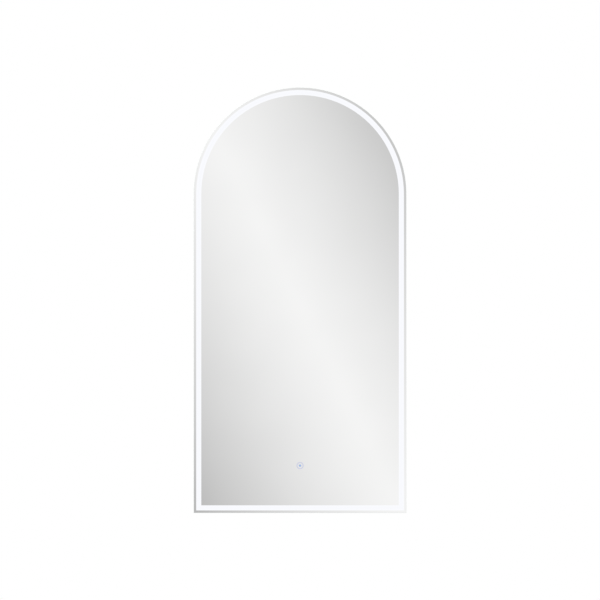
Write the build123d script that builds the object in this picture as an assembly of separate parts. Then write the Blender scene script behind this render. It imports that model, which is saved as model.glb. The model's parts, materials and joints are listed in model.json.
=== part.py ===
from build123d import *
import os
from math import cos, pi, radians, sin

# An arched mirror cabinet for a bathroom wall, with a lit band round the mirror and a touch
# button under it. A white hoop, floor and back panel make the carcass. Three glass shelves
# stand in it on pegs. The door is a routed board that carries the mirror on its front, the
# lamp in a groove behind the mirror's frosted band, and a smaller mirror on its back. It
# swings on three cup hinges at its left edge, and two magnets hold it shut.
#
# Millimetres. +Z is up and -Y is the front. The origin is on the wall, midway between the
# two hanging screws. A depth is a distance from the wall towards the front, so y = -depth.
# A height is a distance above the mirror's bottom edge. An inset is a distance inwards from
# the mirror's outline.

# Mirror
mirror_width = 500.0
mirror_height = 1000.0
mirror_thickness = 5.0
mirror_arris = 0.6
rim_width = 6.0
band_width = 12.0
etch_depth = 0.3

# Touch button under the mirror: a ring round a dot
icon_height = 111.3
icon_ring_radius = 8.3
icon_ring_width = 2.1
icon_dot_radius = 2.8

# Carcass
carcass_depth = 126.0
carcass_inset = 5.0
wall_thickness = 15.0
carcass_edge_chamfer = 1.0
panel_thickness = 5.0
panel_groove_depth = 6.0
panel_end_clearance = 0.3
panel_side_clearance = 0.1
service_space = 18.0
spring_above_screws = 40.0

# Battens behind the back panel, with the holes for the wall screws
upper_batten_height = 80.0
lower_batten_height = 60.0
wall_screw_spacing = 400.0
wall_screw_hole_radius = 3.0

# Dowels
dowel_radius = 4.0
dowel_in_leg = 9.0
dowel_in_board = 20.0
dowel_clearance = 0.1
floor_dowel_from_wall = 38.0
floor_dowel_setback = 26.0

# Shelves and their pegs
shelf_count = 3
shelf_thickness = 5.0
shelf_side_gap = 1.0
shelf_rear_gap = 1.0
shelf_front_setback = 14.0
shelf_edge_round = 1.0
peg_radius = 2.5
peg_in_wall = 9.0
peg_reach = 8.0
peg_collar_radius = 4.0
peg_collar_thickness = 1.0
peg_hole_clearance = 0.05
peg_hole_depth = 10.0
peg_row_pitch = 32.0
peg_edge_distance = 12.0

# Door
door_gap = 2.5
board_inset = 2.0
board_thickness = 18.0
board_back_round = 5.0
tape_thickness = 1.0
edge_seal_width = 3.0
edge_seal_inset = 2.6
bond_ring_gap = 1.0
bond_strip_width = 25.0
bond_strip_pitch = 120.0
inner_mirror_inset = 48.0
inner_mirror_thickness = 3.0
inner_mirror_arris = 0.5

# Lamp: a shallow channel under the frosted band, with a tape and a bridge-shaped diffuser
channel_side_clearance = 0.1
channel_depth = 4.4
channel_wall = 0.8
tape_lamp_width = 8.0
tape_lamp_thickness = 1.2
diffuser_clearance = 0.1
diffuser_thickness = 1.2
diffuser_leg = 1.0

# Hinges. The along size runs from the mirror's left edge, the out size from the carcass
# front towards the room.
hinge_end_height = 90.0
pivot_along = 10.5
pivot_out = 10.5
pin_radius = 1.6
pin_end_chamfer = 0.4
pin_clearance = 0.03
eye_clearance = 0.06
eye_radius = 3.0
arm_width = 11.0
arm_thickness = 2.5
arm_neck_length = 12.3
arm_front_drop = 18.5
arm_step = 6.2
arm_rear_end = 58.0
arm_bend_radius = 3.0
arm_flange_start = 18.0
arm_flange_thickness = 1.3
arm_nose_chamfer = 6.0
cup_radius = 17.5
cup_edge_distance = 3.0
cup_depth = 12.5
cup_wall = 1.2
cup_floor = 1.0
cup_bore_clearance = 0.1
lug_thickness = 2.6
lug_side_clearance = 0.4
lug_half_size = 3.2
cup_flange_thickness = 1.0
cup_flange_near = 7.0
cup_flange_far = 13.5
cup_flange_height = 62.0
cup_flange_corner = 4.0
cup_screw_spacing = 48.0
cup_screw_offset = 6.0
plate_screw_setback = 37.0
plate_screw_spacing = 32.0
plate_wing_height = 52.0
plate_wing_width = 14.0
plate_wing_thickness = 2.0
plate_wing_corner = 6.0
plate_rail_chamfer = 0.6
plate_rail_front = 20.0
plate_rail_rear = 56.0
plate_arm_clearance = 0.35
arm_screw_setbacks = (26.0, 50.0)

# Screws, by shank radius, shank length, head radius and head height
euro_screw = (2.5, 11.0, 4.5, 1.8)
arm_screw = (2.0, 7.0, 3.6, 2.0)
cup_screw = (1.75, 11.0, 3.0, 0.9)
case_screw = (1.25, 5.5, 2.4, 1.2)
lid_screw = (1.0, 5.0, 1.9, 1.0)
strike_screw = (1.5, 9.0, 2.6, 1.2)
screw_clearance = 0.05
driver_slot = 0.8

# Magnetic catches and bumpers
catch_width = 14.0
catch_height = 44.0
catch_length = 20.0
catch_proud = 0.9
catch_screw_in_wall = 9.0
magnet_height = 26.0
magnet_width = 6.0
magnet_length = 12.0
magnet_proud = 0.3
strike_thickness = 1.0
strike_height = 68.0
strike_corner = 3.0
strike_screw_spacing = 56.0
bumper_radius = 4.0
bumper_clearance = 0.3
bumper_round = 0.8
bumper_arch_angles = (35.0, 80.0)
bumper_floor_shares = (-0.2, 0.7)

# Power supply and mains box, in the service space behind the back panel
supply_length = 150.0
supply_height = 40.0
supply_thickness = 15.0
supply_corner = 3.0
supply_left_end = -130.0
supply_ear_length = 10.0
supply_ear_thickness = 2.0
supply_ear_rise = 5.0
supply_edge_round = 1.0
supply_groove_width = 0.6
supply_groove_depth = 0.4
supply_groove_from_panel = 4.0
relief_length = 8.0
relief_radius = 4.0
relief_taper = 8.0
mains_box_gap = 40.0
mains_box_width = 64.0
mains_box_height = 44.0
mains_box_wall = 1.5
mains_post_radius = 2.0
mains_post_inset = 3.2
mains_screw_spacing = 24.0
mains_lid_thickness = 1.5
mains_link_radius = 3.0
mains_bore_radius = 4.0
mains_grommet_radius = 5.5
mains_grommet_flange = 7.5
mains_grommet_flange_thickness = 1.0
terminal_width = 16.0
terminal_height = 34.0
terminal_thickness = 9.0
terminal_side_gap = 5.0
terminal_ways = 3
terminal_screw_radius = 2.2
terminal_screw_depth = 4.5
terminal_notch_width = 1.6
terminal_notch_depth = 2.5

# Lead from the power supply to the lamp
lead_radius = 2.0
lead_wall_distance = 8.0
lead_rear_bend = 7.5
lead_upper_bend = 18.0
lead_lower_bend = 9.0
lead_below_hinge = 48.0
lead_free_drop = 150.0
lead_front_setback = 8.5
grommet_wall = 2.0
grommet_flange = 1.2
clip_width = 8.0
clip_setbacks = (36.0, 82.0)
clip_wall = 2.0
harness_radius = 1.5
feed_radius = 1.0
harness_bend = 8.0
harness_groove_width = 8.0
harness_groove_depth = 4.0
sensor_width = 44.0
sensor_height = 26.0
sensor_thickness = 5.0
sensor_pocket_clearance = 0.5

# Places worked out from the sizes above
half_width = mirror_width / 2
spring_z = spring_above_screws
mirror_bottom = spring_z + half_width - mirror_height
inner_inset = carcass_inset + wall_thickness
inner_half = half_width - inner_inset
carcass_bottom = mirror_bottom + carcass_inset
floor_top = carcass_bottom + wall_thickness
panel_front = service_space + panel_thickness
door_back = carcass_depth + door_gap
board_front = door_back + board_thickness
glass_back = board_front + tape_thickness
glass_front = glass_back + mirror_thickness
band_outer = rim_width
band_inner = rim_width + band_width
icon_z = mirror_bottom + icon_height
left_face = -inner_half

shelf_pitch = (spring_z - shelf_thickness - floor_top) / shelf_count
shelf_bottoms = [floor_top + shelf_pitch * (n + 1) for n in range(shelf_count)]
shelf_names = ["lower", "middle", "upper"]
shelf_front = carcass_depth - shelf_front_setback
shelf_rear = panel_front + shelf_rear_gap
peg_depths = (shelf_rear + peg_edge_distance, shelf_front - peg_edge_distance)

lower_hinge_z = mirror_bottom + hinge_end_height
upper_hinge_z = spring_z - hinge_end_height
hinge_places = {
    "lower": lower_hinge_z,
    "middle": (lower_hinge_z + upper_hinge_z) / 2,
    "upper": upper_hinge_z,
}
catch_places = (lower_hinge_z, upper_hinge_z)
strike_middle = inner_half - catch_width / 2
catch_screw = (1.5, catch_width + catch_screw_in_wall, 2.6, 1.2)
cup_along = board_inset + cup_edge_distance + cup_radius
arm_leg_along = pivot_along + arm_neck_length
arm_bed_along = arm_leg_along + arm_step
arm_bed_under = arm_bed_along - arm_thickness / 2

lead_x = left_face + lead_wall_distance
lead_depth = service_space - grommet_flange - lead_rear_bend
lead_high_z = upper_hinge_z - lead_below_hinge
lead_low_z = lead_high_z - lead_free_drop
harness_floor = board_front - harness_groove_depth
harness_depth = harness_floor + harness_radius
lamp_base = board_front - channel_depth + channel_wall
tape_lamp_outer = (band_outer + band_inner - tape_lamp_width) / 2
tape_lamp_inner = tape_lamp_outer + tape_lamp_width
supply_right_end = supply_left_end + supply_length
mains_box_left = supply_right_end + mains_box_gap
mains_box_right = mains_box_left + mains_box_width
terminal_left = mains_box_left + mains_box_wall + terminal_side_gap
mains_entry_x = (terminal_left + terminal_width + mains_box_right - mains_box_wall) / 2
mains_box_rear = service_space - supply_thickness + mains_lid_thickness


def block(x_low, x_high, depth_low, depth_high, z_low, z_high):
    """Box between two x values, two depths and two z values."""
    middle = Pos((x_low + x_high) / 2, -(depth_low + depth_high) / 2, (z_low + z_high) / 2)
    return middle * Box(x_high - x_low, depth_high - depth_low, z_high - z_low)


def prism(outline, depth_low, depth_high):
    """Sketch in x and z, extruded from one depth to another."""
    return extrude(Plane.XZ.offset(depth_low) * outline, depth_high - depth_low)


def rod_to_front(x, z, radius, depth_low, depth_high):
    """Cylinder along the depth."""
    return prism(Pos(x, z) * Circle(radius), depth_low, depth_high)


def rod_across(x_low, x_high, depth, z, radius):
    """Cylinder along x."""
    middle = Pos((x_low + x_high) / 2, -depth, z)
    return middle * Rot(0, 90, 0) * Cylinder(radius, x_high - x_low)


def arch_outline(inset):
    """Face inside the mirror's outline, moved inwards by inset."""
    half = half_width - inset
    low = mirror_bottom + inset
    return make_face(
        [
            Line((-half, low), (half, low)),
            Line((half, low), (half, spring_z)),
            CenterArc((0, spring_z), half, 0, 180),
            Line((-half, spring_z), (-half, low)),
        ]
    )


def arch_band(outer_inset, inner_inset_of_band):
    """Band between two insets, all the way round."""
    return arch_outline(outer_inset) - arch_outline(inner_inset_of_band)


def arch_plate(inset, depth_low, depth_high):
    """Plate of the arch's shape."""
    return prism(arch_outline(inset), depth_low, depth_high)


def arch_ring(outer_inset, inner_inset_of_ring, depth_low, depth_high):
    """Ring of the arch's shape."""
    return prism(arch_band(outer_inset, inner_inset_of_ring), depth_low, depth_high)


def hinge_xy(along, out):
    """Plan position of a hinge point, from the mirror's left edge and the carcass front."""
    return (-half_width + along, -(carcass_depth + out))


def pivot_rod(hinge_z, radius, length):
    """Cylinder on a hinge's pivot axis."""
    return Pos(*hinge_xy(pivot_along, pivot_out), hinge_z) * Cylinder(radius, length)


def screw_along(axis_plane, size):
    """Screw on a plane that lies on the clamped surface, its normal pointing out at the head."""
    shank_radius, shank_length, head_radius, head_height = size
    head = extrude(axis_plane * Circle(head_radius), head_height)
    top_rim = head.edges().group_by(lambda edge: (edge @ 0 - axis_plane.origin).dot(axis_plane.z_dir))[-1]
    head = fillet(top_rim, head_height / 3)
    shank = extrude(axis_plane * Circle(shank_radius), -shank_length)
    slot_plane = axis_plane.offset(head_height / 2)
    slot_long = extrude(slot_plane * Rectangle(head_radius, driver_slot), head_height)
    slot_cross = extrude(slot_plane * Rectangle(driver_slot, head_radius), head_height)
    return head + shank - slot_long - slot_cross


def screw_hole(axis_plane, size):
    """Hole for a screw's shank, with its running clearance."""
    shank_radius, shank_length, _, _ = size
    return extrude(axis_plane * Circle(shank_radius + screw_clearance), -shank_length - screw_clearance)


def facing_right(x, depth, z):
    """Plane at a point, its normal along +x."""
    return Plane(origin=(x, -depth, z), x_dir=(0, 1, 0), z_dir=(1, 0, 0))


def facing_left(x, depth, z):
    """Plane at a point, its normal along -x."""
    return Plane(origin=(x, -depth, z), x_dir=(0, 1, 0), z_dir=(-1, 0, 0))


def facing_wall(x, depth, z):
    """Plane at a point, its normal towards the wall."""
    return Plane(origin=(x, -depth, z), x_dir=(1, 0, 0), z_dir=(0, 1, 0))


# Carcass


def panel_groove():
    """Space for the back panel's edges in the hoop and floor."""
    inset = inner_inset - panel_groove_depth
    return arch_plate(inset, service_space - panel_side_clearance, panel_front + panel_side_clearance)


def dowel_points():
    """Side, depth and z of every dowel."""
    floor_z = floor_top - wall_thickness / 2
    batten_depth = service_space / 2
    upper_offset = upper_batten_height / 4
    lower_z = floor_top + lower_batten_height / 2
    depths_and_heights = [
        (floor_dowel_from_wall, floor_z),
        (carcass_depth - floor_dowel_setback, floor_z),
        (batten_depth, upper_offset),
        (batten_depth, -upper_offset),
        (batten_depth, lower_z),
    ]
    return [(side, depth, z) for side in (-1, 1) for depth, z in depths_and_heights]


def dowel_rods(extra):
    """Every dowel, larger by extra."""
    rods = []
    for side, depth, z in dowel_points():
        ends = sorted(
            (
                side * (inner_half + dowel_in_leg + extra),
                side * (inner_half - dowel_in_board - extra),
            )
        )
        rods.append(rod_across(*ends, depth, z, dowel_radius + extra))
    return rods


def peg_rows(shelf_number):
    """Hole rows for one shelf: the one in use, and two it can move to."""
    steps = (-2, -1, 0) if shelf_number == shelf_count - 1 else (-1, 0, 1)
    return [shelf_bottoms[shelf_number] + step * peg_row_pitch for step in steps]


def peg_points(heights):
    """Side, depth and z of the peg axes at these heights."""
    return [
        (side, depth, z - peg_radius)
        for side in (-1, 1)
        for depth in peg_depths
        for z in heights
    ]


def peg_holes():
    """Blind holes for the shelf pegs."""
    holes = []
    for number in range(shelf_count):
        for side, depth, z in peg_points(peg_rows(number)):
            ends = sorted((side * (inner_half - peg_hole_depth), side * (inner_half + peg_hole_depth)))
            holes.append(rod_across(*ends, depth, z, peg_radius + peg_hole_clearance))
    return holes


def plate_screw_planes(hinge_z):
    """Planes on the mounting plate's wings under its two screw heads."""
    x = left_face + plate_wing_thickness
    depth = carcass_depth - plate_screw_setback
    half = plate_screw_spacing / 2
    return [facing_right(x, depth, hinge_z + side * half) for side in (-1, 1)]


def catch_screw_planes(catch_z):
    """Planes on a catch's side under its two screw heads."""
    x = inner_half - catch_width
    depth = carcass_depth - catch_length / 2
    reach = (catch_height + magnet_height) / 4
    return [facing_left(x, depth, catch_z + side * reach) for side in (-1, 1)]


def carcass_hoop():
    """Legs and arch in one bent, lacquered piece."""
    hoop = arch_ring(carcass_inset, inner_inset, 0, carcass_depth)
    hoop -= block(-inner_half, inner_half, 0, carcass_depth, carcass_bottom, floor_top)
    hoop = chamfer(hoop.faces().sort_by(Axis.Y)[0].edges(), carcass_edge_chamfer)
    hoop -= panel_groove()
    hoop -= dowel_rods(dowel_clearance) + peg_holes()
    for hinge_z in hinge_places.values():
        hoop -= [screw_hole(plane, euro_screw) for plane in plate_screw_planes(hinge_z)]
    for catch_z in catch_places:
        hoop -= [screw_hole(plane, catch_screw) for plane in catch_screw_planes(catch_z)]
    return hoop


def carcass_floor():
    """Board between the feet of the hoop."""
    floor = block(-inner_half, inner_half, 0, carcass_depth, carcass_bottom, floor_top)
    front_edges = floor.faces().sort_by(Axis.Y)[0].edges().filter_by(Axis.X)
    floor = chamfer(front_edges, carcass_edge_chamfer)
    return floor - panel_groove() - dowel_rods(dowel_clearance)


def wall_screw_holes(z):
    """Holes through the batten and the back panel for two wall screws."""
    return [
        rod_to_front(side * wall_screw_spacing / 2, z, wall_screw_hole_radius, -1, panel_front + 1)
        for side in (-1, 1)
    ]


def lower_screw_z():
    """Height of the securing screws, at the middle of the lower batten."""
    return floor_top + lower_batten_height / 2


def back_panel():
    """Panel in the groove, with the wall-screw holes and the lead's hole."""
    inset = inner_inset - panel_groove_depth + panel_end_clearance
    panel = arch_plate(inset, service_space, panel_front)
    panel -= wall_screw_holes(0) + wall_screw_holes(lower_screw_z())
    panel -= rod_to_front(lead_x, lead_high_z, lead_radius + grommet_wall, 0, carcass_depth)
    for plane in supply_screw_planes() + box_screw_planes():
        panel -= screw_hole(plane, case_screw)
    return panel


def hanging_batten():
    """Batten that the upper wall screws hold."""
    half = upper_batten_height / 2
    batten = block(-inner_half, inner_half, 0, service_space, -half, half)
    return batten - dowel_rods(dowel_clearance) - wall_screw_holes(0)


def lower_batten():
    """Batten on the floor, for the securing screws."""
    batten = block(-inner_half, inner_half, 0, service_space, floor_top, floor_top + lower_batten_height)
    return batten - dowel_rods(dowel_clearance) - wall_screw_holes(lower_screw_z())


def dowels():
    """Dowels between the legs and the floor and battens."""
    return dowel_rods(0)


# Shelves


def shelf(number):
    """Glass shelf with eased edges."""
    half = inner_half - shelf_side_gap
    low = shelf_bottoms[number]
    glass = block(-half, half, shelf_rear, shelf_front, low, low + shelf_thickness)
    front = glass.faces().sort_by(Axis.Y)[0]
    return fillet(front.edges().filter_by(Axis.X), shelf_edge_round)


def shelf_pegs():
    """Pegs under the shelves: a pin in the wall, a collar on it, and a flat-topped support."""
    pegs = []
    for side, depth, z in peg_points(shelf_bottoms):
        wall = side * inner_half
        pin = rod_across(*sorted((wall, wall + side * peg_in_wall)), depth, z, peg_radius)
        reach = rod_across(*sorted((wall, wall - side * peg_reach)), depth, z, peg_radius)
        collar_end = wall - side * peg_collar_thickness
        collar = rod_across(*sorted((wall, collar_end)), depth, z, peg_collar_radius)
        above = block(-half_width, half_width, 0, carcass_depth, z + peg_radius, z + 2 * peg_collar_radius)
        pegs.append(pin + reach + (collar - above))
    return pegs


# Hinges


def mounting_plate(hinge_z):
    """Plate on the leg: two wings with screw holes, and a rail that the arm sits over."""
    depth = carcass_depth - plate_screw_setback
    outline = RectangleRounded(plate_wing_width, plate_wing_height, plate_wing_corner)
    wing_plane = facing_right(left_face, depth, hinge_z)
    plate = extrude(wing_plane * outline, plate_wing_thickness)
    rail_top = -half_width + arm_bed_under - plate_arm_clearance
    rail = block(
        left_face,
        rail_top,
        carcass_depth - plate_rail_rear,
        carcass_depth - plate_rail_front,
        hinge_z - (arm_width - 2 * plate_arm_clearance) / 2,
        hinge_z + (arm_width - 2 * plate_arm_clearance) / 2,
    )
    rail = chamfer(rail.faces().sort_by(Axis.X)[-1].edges(), plate_rail_chamfer)
    plate += rail
    plate -= [screw_hole(plane, euro_screw) for plane in plate_screw_planes(hinge_z)]
    plate -= [screw_hole(plane, arm_screw) for plane in arm_screw_planes(hinge_z)]
    return plate


def arm_screw_planes(hinge_z):
    """Planes on top of the arm under its two screw heads."""
    x = -half_width + arm_bed_along + arm_thickness / 2
    return [facing_right(x, carcass_depth - setback, hinge_z) for setback in arm_screw_setbacks]


def hinge_arm(hinge_z):
    """Bent arm: an eye on the pin, a neck out of the cup, a leg into the carcass, and a bed."""
    spine = FilletPolyline(
        hinge_xy(pivot_along, pivot_out),
        hinge_xy(arm_leg_along, pivot_out),
        hinge_xy(arm_leg_along, pivot_out - arm_front_drop),
        hinge_xy(arm_bed_along, pivot_out - arm_front_drop - arm_step),
        hinge_xy(arm_bed_along, -arm_rear_end),
        radius=arm_bend_radius,
    )
    strip = trace(spine, line_width=arm_thickness)
    eye = Pos(*hinge_xy(pivot_along, pivot_out)) * Circle(eye_radius)
    half = arm_width / 2
    arm = Pos(0, 0, hinge_z - half) * extrude(strip + eye, arm_width)
    flange_low = left_face + plate_wing_thickness + plate_arm_clearance
    flange_high = -half_width + arm_bed_along + arm_thickness / 2
    for side in (-1, 1):
        inner = hinge_z + side * half
        ends = sorted((inner, inner + side * arm_flange_thickness))
        flange = block(
            flange_low,
            flange_high,
            carcass_depth - arm_rear_end,
            carcass_depth - arm_flange_start,
            *ends,
        )
        nose = flange.edges().filter_by(Axis.Z).group_by(Axis.Y)[0].sort_by(Axis.X)[0]
        arm += chamfer(nose, arm_nose_chamfer)
    arm -= pivot_rod(hinge_z, pin_radius + eye_clearance, 2 * arm_width)
    arm -= [screw_hole(plane, arm_screw) for plane in arm_screw_planes(hinge_z)]
    return arm


def cup_body_at(hinge_z, radius, out_low, out_high):
    """Disc of the cup between two distances in front of the carcass."""
    x = -half_width + cup_along
    return rod_to_front(x, hinge_z, radius, carcass_depth + out_low, carcass_depth + out_high)


def hinge_cup(hinge_z):
    """Cup in the door board, with a flange on the board's back and lugs for the pin."""
    mouth, floor = door_gap, door_gap + cup_depth
    outside = cup_body_at(hinge_z, cup_radius, mouth, floor)
    hollow = cup_body_at(hinge_z, cup_radius - cup_wall, 0, floor - cup_floor)
    x = -half_width + cup_along
    flange_middle = x + (cup_flange_far - cup_flange_near) / 2
    flange_outline = Pos(flange_middle, hinge_z) * RectangleRounded(
        cup_flange_near + cup_flange_far, cup_flange_height, cup_flange_corner
    )
    flange = prism(flange_outline, door_back - cup_flange_thickness, door_back)
    cup = outside + flange - hollow
    pivot_x, _ = hinge_xy(pivot_along, pivot_out)
    lug_inner = arm_width / 2 + lug_side_clearance
    for side in (-1, 1):
        ends = sorted((hinge_z + side * lug_inner, hinge_z + side * (lug_inner + lug_thickness)))
        lug = block(
            -half_width,
            pivot_x + lug_half_size,
            carcass_depth + pivot_out - lug_half_size,
            carcass_depth + floor - cup_floor / 2,
            *ends,
        )
        cup += lug & outside
    cup -= pivot_rod(hinge_z, pin_radius + pin_clearance, 2 * (lug_inner + lug_thickness))
    cup -= [screw_hole(plane, cup_screw) for plane in cup_screw_planes(hinge_z)]
    return cup


def cup_screw_planes(hinge_z):
    """Planes on the cup's flange under its two screw heads."""
    x = -half_width + cup_along + cup_screw_offset
    depth = door_back - cup_flange_thickness
    half = cup_screw_spacing / 2
    return [facing_wall(x, depth, hinge_z + side * half) for side in (-1, 1)]


def hinge_pin(hinge_z):
    """Pin across the cup, through the arm's eye."""
    length = arm_width + 2 * (lug_side_clearance + lug_thickness)
    pin = pivot_rod(hinge_z, pin_radius, length)
    return chamfer(pin.edges().filter_by(GeomType.CIRCLE), pin_end_chamfer)


# Door


def door_board():
    """Board with a rounded back edge, a groove for the lamp, cup bores and wiring grooves."""
    board = arch_plate(board_inset, door_back, board_front)
    board = fillet(board.faces().sort_by(Axis.Y)[-1].edges(), board_back_round)
    board -= arch_ring(
        band_outer - channel_wall,
        band_inner + channel_wall,
        board_front - channel_depth,
        board_front,
    )
    bore_end = door_gap + cup_depth + cup_bore_clearance
    for hinge_z in hinge_places.values():
        board -= cup_body_at(hinge_z, cup_radius + cup_bore_clearance, 0, bore_end)
        board -= [screw_hole(plane, cup_screw) for plane in cup_screw_planes(hinge_z)]
    board -= rod_to_front(lead_x, lead_low_z, lead_radius + grommet_wall, 0, board_front)
    board -= harness_groove()
    board -= sensor_pocket()
    for catch_z in catch_places:
        board -= [screw_hole(plane, strike_screw) for plane in strike_screw_planes(catch_z)]
    return board


def harness_groove():
    """Groove in the board's front from the lead's hole down and across to the touch sensor."""
    half = harness_groove_width / 2
    depths = (harness_floor, board_front)
    down = block(lead_x - half, lead_x + half, *depths, icon_z - half, lead_low_z + half)
    across = block(lead_x - half, -sensor_width / 2, *depths, icon_z - half, icon_z + half)
    feed = block(-half_width + band_inner, lead_x, *depths, lead_low_z - half, lead_low_z + half)
    return down + across + feed


def sensor_pocket():
    """Pocket for the touch sensor."""
    half_wide = sensor_width / 2 + sensor_pocket_clearance
    half_high = sensor_height / 2 + sensor_pocket_clearance
    rear = glass_back - sensor_thickness - sensor_pocket_clearance
    return block(-half_wide, half_wide, rear, board_front, icon_z - half_high, icon_z + half_high)


def lamp_feed(extra):
    """Wires from the lead's end to the lamp tape's edge, thicker by extra."""
    return rod_across(-half_width + tape_lamp_inner, lead_x, harness_depth, lead_low_z, feed_radius + extra)


def lamp_channel():
    """Aluminium channel in the board's groove, with a hole for the lamp's wires."""
    outer = band_outer - channel_wall + channel_side_clearance
    inner = band_inner + channel_wall - channel_side_clearance
    channel = arch_ring(outer, inner, lamp_base - channel_wall, board_front)
    hollow = arch_ring(outer + channel_wall, inner - channel_wall, lamp_base, board_front)
    return channel - hollow - lamp_feed(screw_clearance)


def lamp_tape():
    """Light-emitting tape along the middle of the channel."""
    return arch_ring(tape_lamp_outer, tape_lamp_inner, lamp_base, lamp_base + tape_lamp_thickness)


def lamp_diffuser():
    """Opal bridge over the tape, standing on the channel's base."""
    outer = band_outer + channel_side_clearance + diffuser_clearance
    inner = band_inner - channel_side_clearance - diffuser_clearance
    bridge = arch_ring(outer, inner, lamp_base, board_front)
    under = arch_ring(outer + diffuser_leg, inner - diffuser_leg, lamp_base, board_front - diffuser_thickness)
    return bridge - under - lamp_feed(screw_clearance)


def edge_seal():
    """Foam seal under the mirror's rim."""
    return arch_ring(edge_seal_inset, edge_seal_inset + edge_seal_width, board_front, glass_back)


def mirror_tape():
    """Bonding tape inside the lit band: a ring, and upright strips."""
    outer = band_inner + bond_ring_gap
    ring = arch_ring(outer, outer + edge_seal_width, board_front, glass_back)
    strips = []
    for step in (-1, 0, 1):
        middle = step * bond_strip_pitch
        half = bond_strip_width / 2
        low = icon_z + sensor_height
        strips.append(block(middle - half, middle + half, board_front, glass_back, low, spring_z))
    return [ring] + strips


def icon_parts(depth_low, depth_high):
    """Ring and dot of the touch button."""
    at_icon = Pos(0, icon_z)
    ring = at_icon * (Circle(icon_ring_radius) - Circle(icon_ring_radius - icon_ring_width))
    dot = at_icon * Circle(icon_dot_radius)
    return [prism(ring, depth_low, depth_high), prism(dot, depth_low, depth_high)]


def mirror_glass():
    """Mirror with eased edges, recessed where the frosted band and the touch button are."""
    glass = arch_plate(0, glass_back, glass_front)
    glass = chamfer(glass.faces().sort_by(Axis.Y)[0].edges(), mirror_arris)
    glass = chamfer(glass.faces().sort_by(Axis.Y)[-1].edges(), mirror_arris)
    glass -= frosted_band()
    return glass - icon_parts(glass_front - etch_depth, glass_front)


def frosted_band():
    """Frosted layer of the mirror over the lamp."""
    return arch_ring(band_outer, band_inner, glass_front - etch_depth, glass_front)


def touch_button():
    """Frosted ring and dot of the touch button."""
    return icon_parts(glass_front - etch_depth, glass_front)


def touch_sensor():
    """Sensor module on the back of the mirror, behind the touch button."""
    half_wide, half_high = sensor_width / 2, sensor_height / 2
    rear = glass_back - sensor_thickness
    module = block(-half_wide, half_wide, rear, glass_back, icon_z - half_high, icon_z + half_high)
    return fillet(module.edges().filter_by(Axis.Y), 2 * mirror_arris)


def door_harness():
    """Wires in the board's grooves, from the lead's end to the touch sensor and to the lamp."""
    spine = FilletPolyline(
        (lead_x, -harness_depth, lead_low_z),
        (lead_x, -harness_depth, icon_z),
        (-sensor_width / 2, -harness_depth, icon_z),
        radius=harness_bend,
    )
    start = Plane(origin=spine @ 0, z_dir=spine % 0)
    return sweep(start * Circle(harness_radius), path=spine) + lamp_feed(0)


def inner_mirror():
    """Smaller mirror on the door's back."""
    mirror = arch_plate(inner_mirror_inset, door_back - inner_mirror_thickness, door_back)
    return chamfer(mirror.faces().sort_by(Axis.Y)[-1].edges(), inner_mirror_arris)


# Catches and bumpers


def catch_housings():
    """Catch bodies on the right leg."""
    bodies = []
    front = carcass_depth + catch_proud
    for catch_z in catch_places:
        half = catch_height / 2
        depths = (carcass_depth - catch_length, front)
        body = block(inner_half - catch_width, inner_half, *depths, catch_z - half, catch_z + half)
        body = fillet(body.edges().filter_by(Axis.X), 2 * carcass_edge_chamfer)
        body -= magnet_block(catch_z, front)
        body -= [screw_hole(plane, catch_screw) for plane in catch_screw_planes(catch_z)]
        bodies.append(body)
    return bodies


def magnet_block(catch_z, front):
    """Space of one magnet, up to a front depth."""
    left, right = strike_middle - magnet_width / 2, strike_middle + magnet_width / 2
    z_low, z_high = catch_z - magnet_height / 2, catch_z + magnet_height / 2
    rear = carcass_depth + catch_proud - magnet_length
    return block(left, right, rear, front, z_low, z_high)


def catch_magnets():
    """Magnets, a little proud of their housings."""
    front = carcass_depth + catch_proud + magnet_proud
    return [magnet_block(catch_z, front) for catch_z in catch_places]


def strike_screw_planes(catch_z):
    """Planes on a strike plate under its two screw heads, clear of the magnet and its housing."""
    x = strike_middle
    half = strike_screw_spacing / 2
    return [facing_wall(x, door_back - strike_thickness, catch_z + side * half) for side in (-1, 1)]


def strike_plates():
    """Steel plates on the door's back, in front of the magnets."""
    plates = []
    for catch_z in catch_places:
        outline = Pos(strike_middle, catch_z) * RectangleRounded(catch_width, strike_height, strike_corner)
        plate = prism(outline, door_back - strike_thickness, door_back)
        plate -= [screw_hole(plane, strike_screw) for plane in strike_screw_planes(catch_z)]
        plates.append(plate)
    return plates


def bumper_points():
    """Bumper places on the line along the middle of the carcass front edge."""
    line = half_width - carcass_inset - wall_thickness / 2
    low = mirror_bottom + carcass_inset + wall_thickness / 2
    on_arch = [(line * cos(radians(a)), spring_z + line * sin(radians(a))) for a in bumper_arch_angles]
    on_leg = [(line, hinge_places["middle"])]
    on_floor = [(line * share, low) for share in bumper_floor_shares]
    return on_arch + on_leg + on_floor


def door_bumpers():
    """Soft dots on the door's back."""
    dots = []
    for x, z in bumper_points():
        dot = rod_to_front(x, z, bumper_radius, carcass_depth + bumper_clearance, door_back)
        rim = dot.edges().filter_by(GeomType.CIRCLE).sort_by(Axis.Y)[-1]
        dots.append(fillet(rim, bumper_round))
    return dots


# Power supply, mains box and lead


def supply_screw_planes():
    """Planes on the power supply's ears under its screw heads."""
    depth = service_space - supply_ear_thickness
    reach = supply_ear_length / 2
    z = lead_high_z + supply_height / 4
    ends = (supply_left_end - reach, supply_right_end + reach)
    return [facing_wall(x, depth, z) for x in ends]


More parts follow.
